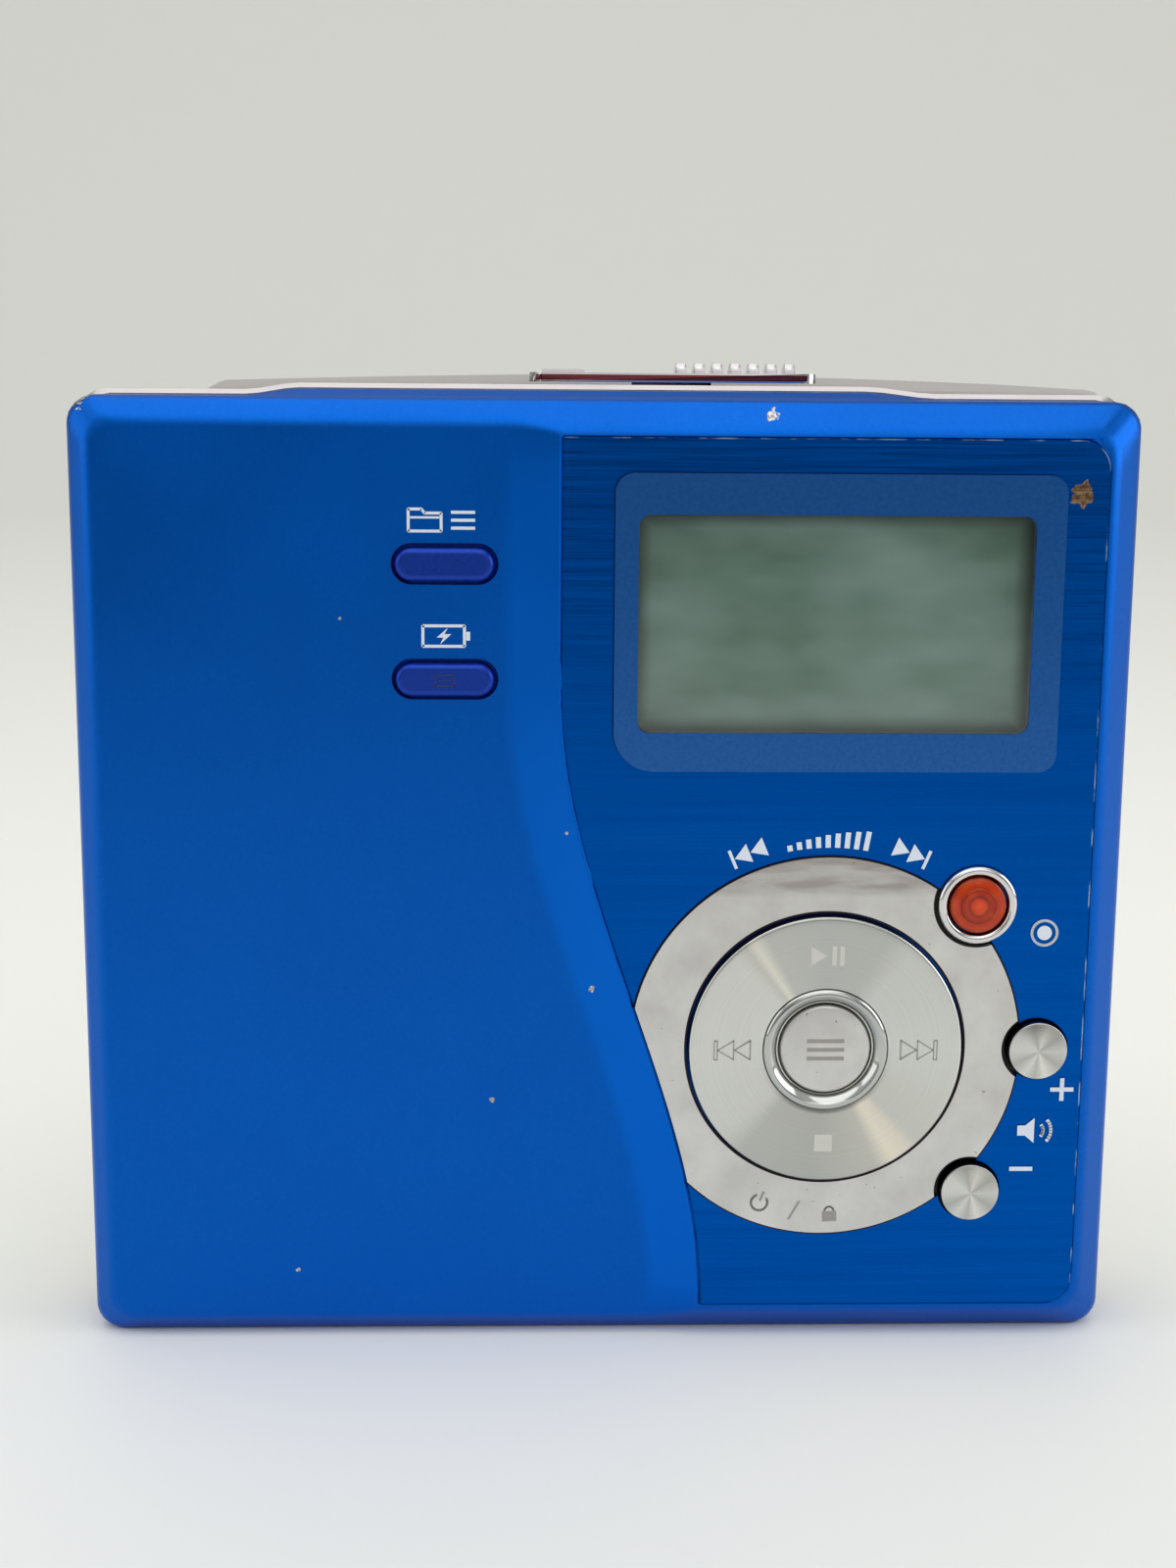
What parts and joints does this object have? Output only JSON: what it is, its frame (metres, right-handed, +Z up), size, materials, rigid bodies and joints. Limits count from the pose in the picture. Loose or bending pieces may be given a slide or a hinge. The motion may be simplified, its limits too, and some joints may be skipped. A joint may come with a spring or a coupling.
{
  "type": "portable minidisc recorder",
  "caption": "Pocket clamshell recorder with a hinged lid, tilting disc holder, sled drive, display, rocking dial, press keys and a sliding opener",
  "frame": {"origin": "centre of the box on the surface it stands on", "axes": "+X to the right seen from the lid, +Y from the lid to the back cover, +Z up; it stands on its long bottom edge"},
  "size_m": [0.0794, 0.0208, 0.0749],
  "materials": {
    "lid_lacquer": "satin blue lacquer over a light alloy shell",
    "brushed_blue": "horizontal hairline brush, blue anodised",
    "lens_clear": "clear moulded lens",
    "lcd": "matte liquid crystal module",
    "ring_satin": "satin silver",
    "chrome": "bright plating",
    "dial_metal": "circular spun",
    "menu_satin": "satin turned",
    "rec_red": "clear red",
    "pill_violet": "metallic violet",
    "shell_grey": "silver grey lacquer",
    "steel": "bright steel sheet",
    "black_screw": "blackened steel",
    "zinc": "die cast",
    "optics": "coated glass",
    "board": "green solder mask",
    "dome": "thin snap domes",
    "dark_resin": "moulded",
    "yellow_resin": "moulded",
    "gear_resin": "natural acetal",
    "brass": "turned",
    "rubber": "soft black",
    "cell": "plastic sleeve over a steel can"
  },
  "bodies": {
    "base": {"middle_frame": "chrome", "back_shell": "shell_grey", "hinge_pin_left": "steel", "hinge_pin_right": "steel", "case_screw_lower_left": "black_screw", "case_screw_upper_left": "black_screw", "case_screw_lower_right": "black_screw", "case_screw_upper_right": "black_screw", "latch_spring": "steel", "spindle_motor": "steel", "chassis_plate": "steel", "chassis_damper_1": "rubber", "chassis_damper_2": "rubber", "chassis_damper_3": "rubber", "chassis_damper_4": "rubber", "guide_rail_lower": "steel", "guide_rail_upper": "steel", "sled_motor": "steel", "main_board": "board", "battery": "cell", "battery_contact_lower": "brass", "battery_contact_upper": "brass", "remote_jack": "dark_resin", "line_jack": "dark_resin", "dc_jack": "yellow_resin"},
    "lid": {"lid_shell": "lid_lacquer", "brushed_plate": "brushed_blue", "display_lens": "lens_clear", "display_panel": "lcd", "dial_ring": "ring_satin", "rec_bezel": "chrome", "key_board": "board", "dome_film": "dome", "lid_inner_plate": "steel"},
    "nav_gimbal": {"nav_carrier": "dark_resin"},
    "nav_dial": {"nav_disc": "dial_metal", "menu_collar": "chrome"},
    "menu_key": {"menu_button": "menu_satin"},
    "rec_key": {"rec_button": "rec_red"},
    "volume_up_key": {"volume_up_button": "dial_metal"},
    "volume_down_key": {"volume_down_button": "dial_metal"},
    "group_key": {"group_button": "pill_violet"},
    "display_key": {"display_button": "pill_violet"},
    "latch": {"open_knob": "chrome", "latch_bar": "steel"},
    "holder": {"disc_holder": "steel"},
    "spindle": {"turntable": "steel"},
    "sled": {"pickup_sled": "zinc", "objective_lens": "optics", "head_bracket": "steel"},
    "head": {"head_arm": "steel", "magnetic_head": "dark_resin"},
    "gear": {"drive_gear": "gear_resin"},
    "pinion": {"motor_pinion": "brass"},
    "door": {"battery_door": "shell_grey"},
    "hold": {"hold_switch": "shell_grey"}
  },
  "joints": [
    {"name": "lid_hinge", "type": "hinge", "parent": "base", "child": "lid", "pos_m": [0, 0.00045, 0.003], "axis": [1, 0, 0], "range_deg": [0, 40]},
    {"name": "nav_side_tilt", "type": "hinge", "parent": "lid", "child": "nav_gimbal", "pos_m": [0.0169, -0.00765, 0.02355], "axis": [0, 0, 1], "range_deg": [-2, 2], "stiffness_Nm_per_rad": 0.3},
    {"name": "nav_up_tilt", "type": "hinge", "parent": "nav_gimbal", "child": "nav_dial", "pos_m": [0.0169, -0.00765, 0.02355], "axis": [1, 0, 0], "range_deg": [-2, 2], "stiffness_Nm_per_rad": 0.3},
    {"name": "menu_press", "type": "slide", "parent": "nav_dial", "child": "menu_key", "axis": [0, 1, 0], "range_m": [0, 0.00035], "stiffness_N_per_m": 1500},
    {"name": "rec_press", "type": "slide", "parent": "lid", "child": "rec_key", "axis": [0, 1, 0], "range_m": [0, 0.0004], "stiffness_N_per_m": 1500},
    {"name": "volume_up_press", "type": "slide", "parent": "lid", "child": "volume_up_key", "axis": [0, 1, 0], "range_m": [0, 0.0004], "stiffness_N_per_m": 1500},
    {"name": "volume_down_press", "type": "slide", "parent": "lid", "child": "volume_down_key", "axis": [0, 1, 0], "range_m": [0, 0.0004], "stiffness_N_per_m": 1500},
    {"name": "group_press", "type": "slide", "parent": "lid", "child": "group_key", "axis": [0, 1, 0], "range_m": [0, 0.0004], "stiffness_N_per_m": 1500},
    {"name": "display_press", "type": "slide", "parent": "lid", "child": "display_key", "axis": [0, 1, 0], "range_m": [0, 0.0004], "stiffness_N_per_m": 1500},
    {"name": "open_slide", "type": "slide", "parent": "base", "child": "latch", "axis": [-1, 0, 0], "range_m": [0, 0.004], "stiffness_N_per_m": 300, "deforming": ["latch_spring"]},
    {"name": "holder_tilt", "type": "hinge", "parent": "base", "child": "holder", "pos_m": [0, 0.00045, 0.003], "axis": [1, 0, 0], "range_deg": [0, 20]},
    {"name": "sled_travel", "type": "slide", "parent": "base", "child": "sled", "axis": [1, 0, 0], "range_m": [0, 0.0155]},
    {"name": "head_lift", "type": "hinge", "parent": "sled", "child": "head", "pos_m": [0.0155, -0.00465, 0.002], "axis": [1, 0, 0], "range_deg": [0, 28.8]},
    {"name": "gear_turn", "type": "hinge", "parent": "base", "child": "gear", "pos_m": [0.017, 0.00185, 0.05215], "axis": [0, 1, 0], "range_deg": [-371, 0]},
    {"name": "pinion_turn", "type": "hinge", "parent": "base", "child": "pinion", "pos_m": [0.02265, 0.00185, 0.05611], "axis": [0, 1, 0], "range_deg": [0, 1333]},
    {"name": "spindle_spin", "type": "hinge", "parent": "base", "child": "spindle", "pos_m": [0, 0.00285, 0.0365], "axis": [0, 1, 0], "continuous": true},
    {"name": "door_hinge", "type": "hinge", "parent": "base", "child": "door", "pos_m": [-0.0389, 0.0061, 0.0205], "axis": [0, 1, 0], "range_deg": [0, 80]},
    {"name": "hold_slide", "type": "slide", "parent": "base", "child": "hold", "axis": [0, 0, -1], "range_m": [0, 0.002]}
  ],
  "couplings": [
    {"joint": "holder_tilt", "follows": "lid_hinge", "ratio": 0.5},
    {"joint": "head_lift", "follows": "lid_hinge", "ratio": 0.72},
    {"joint": "gear_turn", "follows": "sled_travel", "rad_per_m": -416.67},
    {"joint": "pinion_turn", "follows": "sled_travel", "rad_per_m": 1500}
  ]
}
